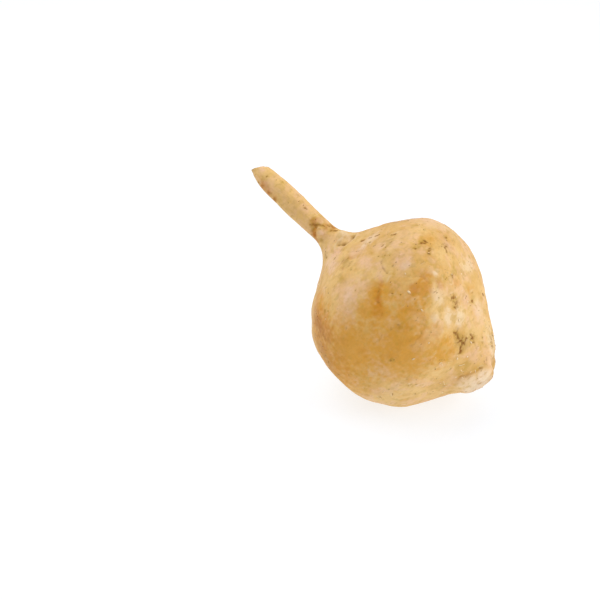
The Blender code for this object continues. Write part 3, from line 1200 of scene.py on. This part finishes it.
chance = random.Random(FLAKE_SEED)
flake_shape = bmesh.new()
for at_along, at_around, size, lift in LARGE_FLAKES:
    add_flake(flake_shape, nearest_point(at_along, at_around), size / MM, lift / MM, chance)
while len(flake_shape.verts) < FLAKES * 2 * (FLAKE_CORNERS + 1):
    index = chance.randrange(count)
    likely = 0.08 + 0.50 * masks["scarred"][index] + 0.30 * masks["pale"][index]
    likely *= masks["flaky"][index]
    if along[index] > 4 and moved[index, 2] * MM > 6 and chance.random() < likely:
        size = chance.uniform(0.5, 1.2)
        lift = chance.uniform(0.10, 0.45)
        add_flake(flake_shape, index, size / MM, lift / MM, chance)
flake_recipe = Recipe("cork_flake")
spot = flake_recipe.node("TexCoord", {}, {}, "Object")
ages = flake_recipe.noise(spot, 0.006, 2.0)
specks_on_cork = flake_recipe.noise(spot, 0.0006, 2.0)
flake_tone = flake_recipe.mix(ages.step(0.40, 0.60), colour(232, 192, 130), colour(250, 224, 182))
flake_tone = flake_recipe.mix(specks_on_cork.step(0.55, 0.70) * 0.5, flake_tone, colour(176, 128, 62))
loose_piece("cork_flakes", flake_shape, flake_recipe.finish(Base_Color=flake_tone, Roughness=0.65))

# %% Crumbs of dry soil
CRUMB_SEED = 59
CRUMBS = 90
chance = random.Random(CRUMB_SEED)
crumb_shape = bmesh.new()
placed = 0
while placed < CRUMBS:
    index = chance.randrange(count)
    likely = masks["soil_and_shade"][index] ** 2 + 0.25 * masks["scarred"][index] ** 2
    if chance.random() > likely or moved[index, 2] * MM < 3:
        continue
    place, out, across, down = seat(index)
    size = chance.uniform(0.12, 0.28) / MM
    centre = place + out * size * 0.4
    seated = Matrix.Translation(centre) @ out.to_track_quat("Z", "Y").to_matrix().to_4x4()
    made = bmesh.ops.create_icosphere(crumb_shape, subdivisions=1, radius=size, matrix=seated)
    for vert in made["verts"]:
        vert.co = centre + (vert.co - centre) * chance.uniform(0.65, 1.25)
    placed += 1
soil_recipe = Recipe("dry_soil")
spot = soil_recipe.node("TexCoord", {}, {}, "Object")
damp = soil_recipe.noise(spot, 0.003, 2.0)
soil_tone = soil_recipe.mix(damp.step(0.4, 0.6), colour(124, 86, 38), colour(160, 120, 64))
loose_piece("soil_crumbs", crumb_shape, soil_recipe.finish(Base_Color=soil_tone, Roughness=0.95))

# %% [markdown]
# ## The studio
#
# The photograph has a white ground and broad soft light from the left, the right and
# above, which leaves the middle of the tuber a little darker. Three large area lights
# and a pale surround give the same, and the floor catches a faint shadow.

# %% Floor
FLOOR_HALF = 4.0
FLOOR_GLOW = 0.72
floor_shape = bmesh.new()
bmesh.ops.create_grid(floor_shape, x_segments=1, y_segments=1, size=FLOOR_HALF)
floor_mesh = bpy.data.meshes.new("floor")
floor_shape.to_mesh(floor_mesh)
floor_shape.free()
floor = bpy.data.objects.new("floor", floor_mesh)
bpy.context.scene.collection.objects.link(floor)
floor_recipe = Recipe("floor")
floor_mesh.materials.append(
    floor_recipe.finish(
        Base_Color=(0.32, 0.35, 0.40, 1),
        Roughness=0.9,
        Specular_IOR_Level=0.1,
        Emission_Color=(1.0, 1.0, 1.0, 1),
        Emission_Strength=FLOOR_GLOW,
    )
)

# %% Lights
LIGHT_AIM = Vector((0.0, 0.0, 0.06))
SURROUND_STRENGTH = 0.38
# Each light is a direction (right, up, towards the camera), distance, side and power.
LIGHTS = (
    ("left_softbox", (-0.58, 0.76, 0.30), 1.1, 0.9, 5.2),
    ("right_softbox", (0.85, 0.30, 0.42), 1.1, 0.9, 7.0),
    ("top_softbox", (0.0, 0.95, -0.05), 1.2, 1.2, 4.1),
)
for name, (right, up, near), distance, side, power in LIGHTS:
    lamp = bpy.data.lights.new(name, "AREA")
    lamp.shape = "SQUARE"
    lamp.size = side
    lamp.energy = power
    lamp_object = bpy.data.objects.new(name, lamp)
    bpy.context.scene.collection.objects.link(lamp_object)
    way = (to_right * right + to_top * up + to_camera * near).normalized()
    lamp_object.location = LIGHT_AIM + way * distance
    lamp_object.rotation_mode = "QUATERNION"
    lamp_object.rotation_quaternion = (-way).to_track_quat("-Z", "Y")

world = bpy.data.worlds.new("surround")
world.use_nodes = True
world.node_tree.nodes["Background"].inputs["Color"].default_value = (1.0, 1.0, 1.0, 1)
world.node_tree.nodes["Background"].inputs["Strength"].default_value = SURROUND_STRENGTH
bpy.context.scene.world = world
bpy.context.scene.view_settings.view_transform = "Standard"
print("lights:", len(LIGHTS))
